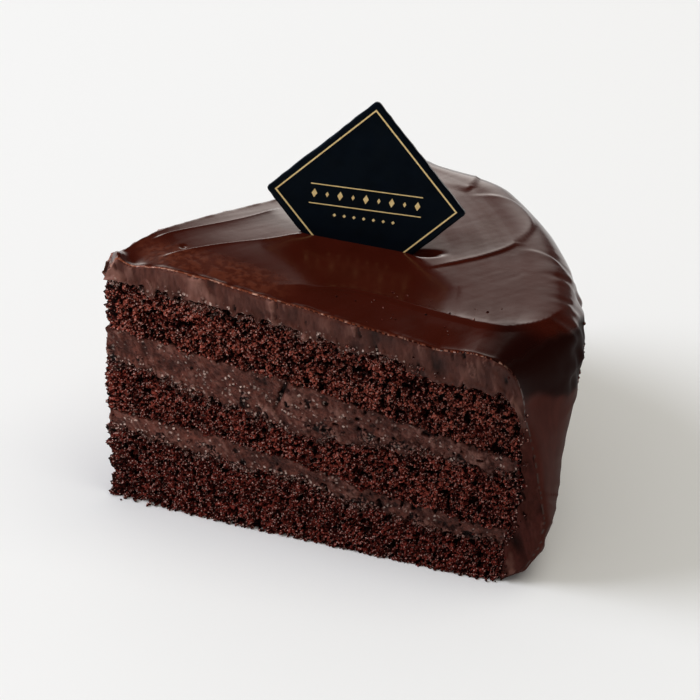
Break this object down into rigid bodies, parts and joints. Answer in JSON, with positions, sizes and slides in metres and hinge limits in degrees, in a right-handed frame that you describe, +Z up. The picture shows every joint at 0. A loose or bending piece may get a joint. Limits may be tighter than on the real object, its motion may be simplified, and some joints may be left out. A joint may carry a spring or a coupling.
{
  "type": "chocolate cake slice",
  "caption": "Wedge of a round layered chocolate cake with ganache between and over its sponges, and a square chocolate plaque stood in its top.",
  "frame": {"origin": "on the ground in the middle of the slice's box, under its cut faces", "axes": "+X from the slice's tip to the middle of its rim, +Y towards the far cut face, +Z up"},
  "size_m": [0.1044, 0.1042, 0.0908],
  "materials": {
    "sponge": "open dark crumb, matte",
    "filling": "cut ganache, satin",
    "frosting": "smooth ganache, glossy",
    "plaque": "printed chocolate, satin",
    "gold_print": "edible gold print, satin"
  },
  "bodies": {
    "root": {"sponge_bottom": "sponge", "filling_lower": "filling", "sponge_middle": "sponge", "filling_upper": "filling", "sponge_top": "sponge", "frosting": "frosting", "topper_plaque": "plaque"}
  },
  "joints": []
}
